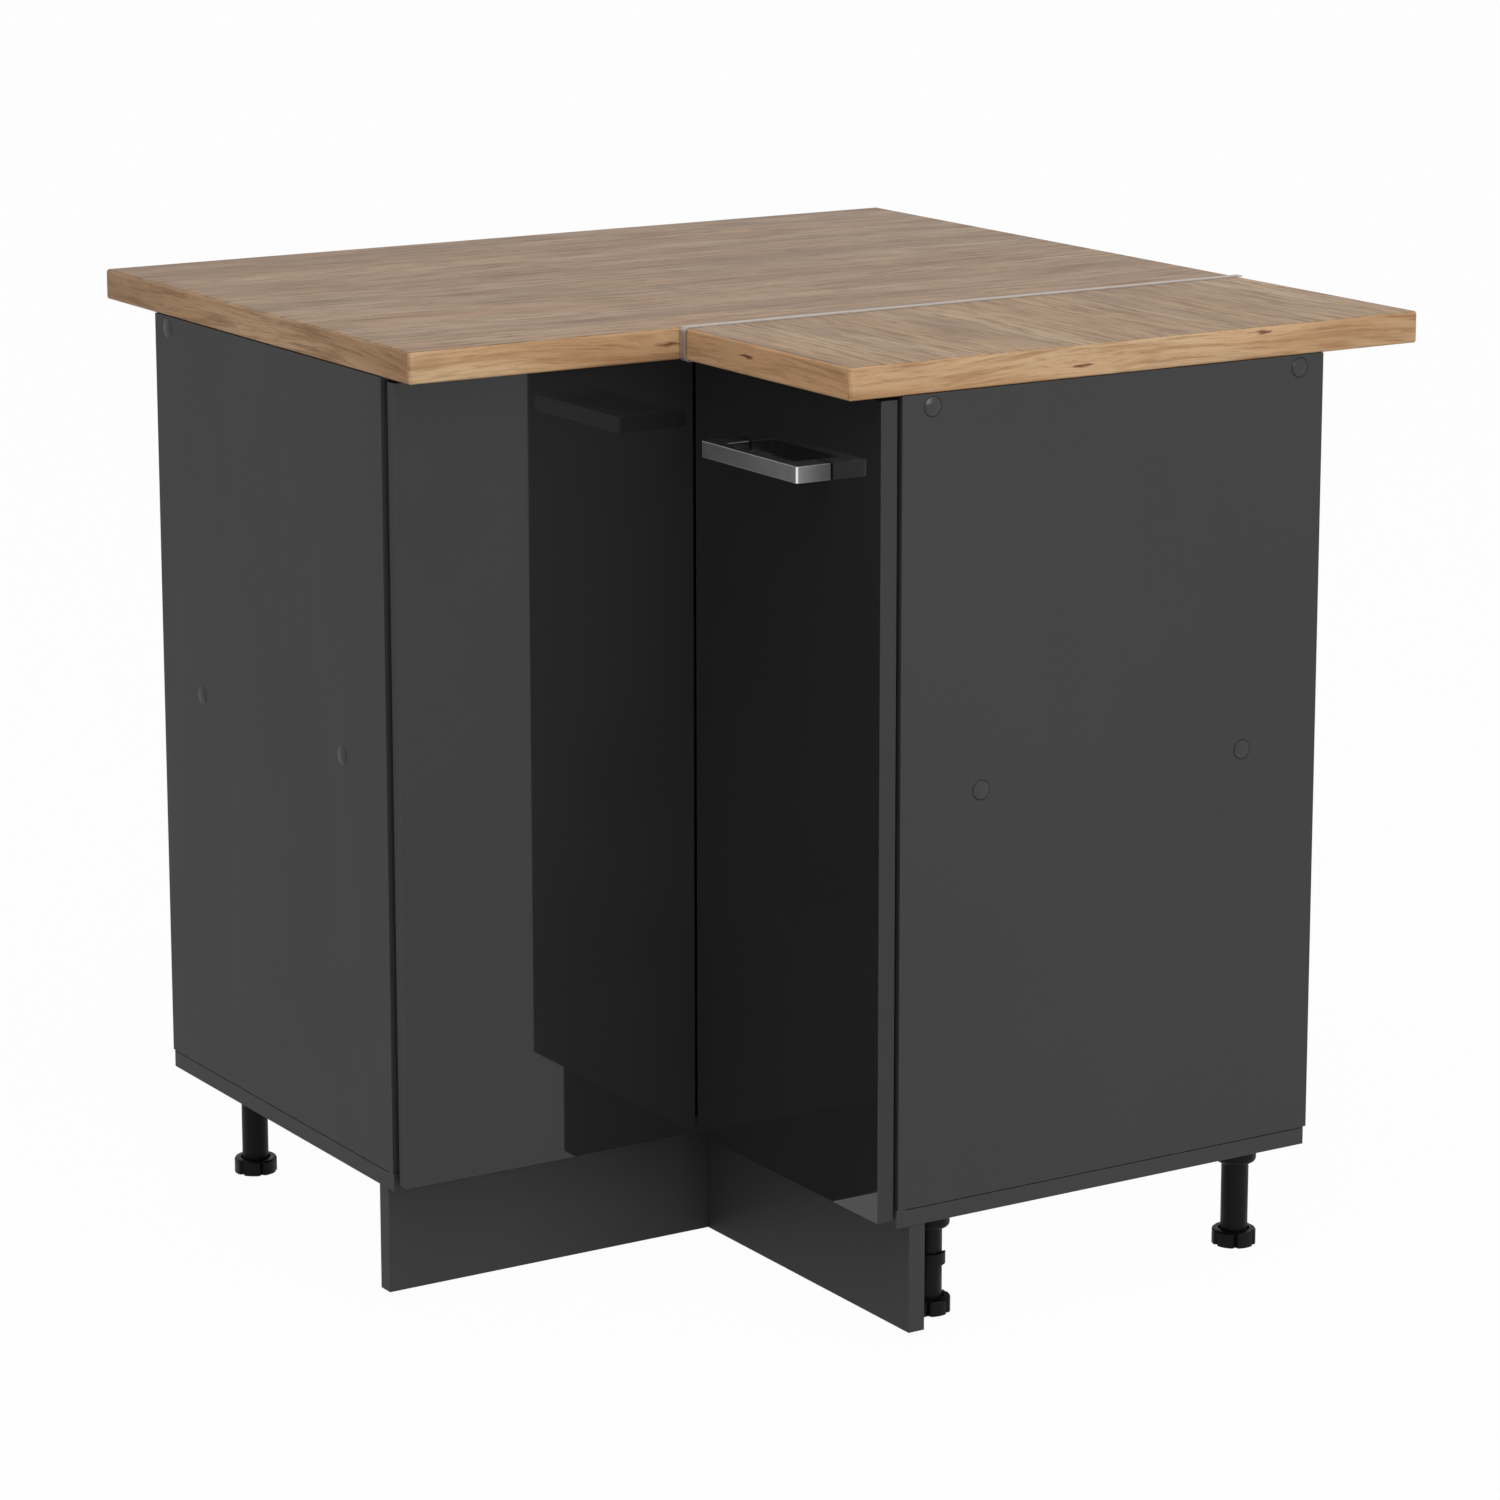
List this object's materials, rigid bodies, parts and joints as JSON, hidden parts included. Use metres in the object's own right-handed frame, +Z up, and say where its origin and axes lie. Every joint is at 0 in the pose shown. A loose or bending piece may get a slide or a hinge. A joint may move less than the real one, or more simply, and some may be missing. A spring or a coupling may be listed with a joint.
{
  "type": "corner base cabinet",
  "caption": "L-shaped corner base cabinet on levelling feet, with a folding pair of gloss doors, a bow handle and an oak worktop joined by a metal strip.",
  "frame": {"origin": "middle of the bounding box, on the floor under the feet", "axes": "+Z up, +Y and +X towards the two walls; the left wing's end faces -X and the right wing's end faces -Y"},
  "size_m": [0.8658, 0.8608, 0.8575],
  "materials": {
    "oak_worktop": "satin oak decor laminate",
    "joint_strip": "satin",
    "grey_board": "matt dark grey melamine",
    "plinth_board": "matt dark grey melamine",
    "back_board": "painted fibreboard",
    "raw_wood": "bare wood",
    "gloss_door": "high gloss anthracite",
    "handle_metal": "satin",
    "cap_plastic": "matt dark grey",
    "clear_bumper": "clear soft pad",
    "black_plastic": "moulded black",
    "hinge_steel": "nickel plated",
    "screw_steel": "zinc plated"
  },
  "bodies": {
    "cabinet": {"worktop_main": "oak_worktop", "worktop_wing": "oak_worktop", "worktop_joint_strip": "joint_strip", "left_side_panel": "grey_board", "right_side_panel": "grey_board", "bottom_board": "grey_board", "fixed_shelf": "grey_board", "left_front_rail": "grey_board", "right_front_rail": "grey_board", "left_rear_rail": "grey_board", "right_rear_rail": "grey_board", "left_plinth": "plinth_board", "right_plinth": "plinth_board", "left_back_panel": "back_board", "right_back_panel": "back_board", "rear_corner_post": "raw_wood", "rail_dowels": "raw_wood", "screw_cover_caps": "cap_plastic", "door_bumpers": "clear_bumper", "left_plinth_clip": "black_plastic", "right_plinth_clip": "black_plastic", "leg_sockets": "black_plastic", "left_rear_leg_tube": "black_plastic", "left_front_leg_tube": "black_plastic", "inner_corner_leg_tube": "black_plastic", "right_front_leg_tube": "black_plastic", "right_rear_leg_tube": "black_plastic", "wall_corner_leg_tube": "black_plastic", "lower_hinge_plate": "hinge_steel", "upper_hinge_plate": "hinge_steel", "lower_hinge_arm": "hinge_steel", "upper_hinge_arm": "hinge_steel", "plinth_corner_plate": "hinge_steel", "worktop_joint_bolts": "screw_steel", "worktop_fixing_screws": "screw_steel", "back_panel_screws": "screw_steel", "connecting_screws": "screw_steel", "hinge_plate_screws": "screw_steel", "plinth_screws": "screw_steel"},
    "left_door": {"left_door": "gloss_door", "lower_hinge_cup": "hinge_steel", "upper_hinge_cup": "hinge_steel", "side_hinge_pins": "hinge_steel", "lower_fold_leaf_left": "hinge_steel", "upper_fold_leaf_left": "hinge_steel", "fold_hinge_pins": "hinge_steel", "left_door_hinge_screws": "screw_steel"},
    "right_door": {"right_door": "gloss_door", "handle": "handle_metal", "handle_screws": "screw_steel", "lower_fold_leaf_right": "hinge_steel", "upper_fold_leaf_right": "hinge_steel", "right_door_hinge_screws": "screw_steel"},
    "left_rear_foot": {"left_rear_foot": "black_plastic"},
    "left_front_foot": {"left_front_foot": "black_plastic"},
    "inner_corner_foot": {"inner_corner_foot": "black_plastic"},
    "right_front_foot": {"right_front_foot": "black_plastic"},
    "right_rear_foot": {"right_rear_foot": "black_plastic"},
    "wall_corner_foot": {"wall_corner_foot": "black_plastic"}
  },
  "joints": [
    {"name": "side_hinge", "type": "hinge", "parent": "cabinet", "child": "left_door", "pos_m": [-0.4206, -0.1253, 0.471], "axis": [0, 0, -1], "range_deg": [0, 100]},
    {"name": "fold_hinge", "type": "hinge", "parent": "left_door", "child": "right_door", "pos_m": [-0.1206, -0.1181, 0.471], "axis": [0, 0, 1], "range_deg": [0, 60]},
    {"name": "left_rear_foot_screw", "type": "slide", "parent": "cabinet", "child": "left_rear_foot", "axis": [0, 0, -1], "range_m": [-0.003, 0.015]},
    {"name": "left_front_foot_screw", "type": "slide", "parent": "cabinet", "child": "left_front_foot", "axis": [0, 0, -1], "range_m": [-0.003, 0.015]},
    {"name": "inner_corner_foot_screw", "type": "slide", "parent": "cabinet", "child": "inner_corner_foot", "axis": [0, 0, -1], "range_m": [-0.003, 0.015]},
    {"name": "right_front_foot_screw", "type": "slide", "parent": "cabinet", "child": "right_front_foot", "axis": [0, 0, -1], "range_m": [-0.003, 0.015]},
    {"name": "right_rear_foot_screw", "type": "slide", "parent": "cabinet", "child": "right_rear_foot", "axis": [0, 0, -1], "range_m": [-0.003, 0.015]},
    {"name": "wall_corner_foot_screw", "type": "slide", "parent": "cabinet", "child": "wall_corner_foot", "axis": [0, 0, -1], "range_m": [-0.003, 0.015]}
  ],
  "couplings": [
    {"joint": "fold_hinge", "follows": "side_hinge", "ratio": 0.6}
  ]
}
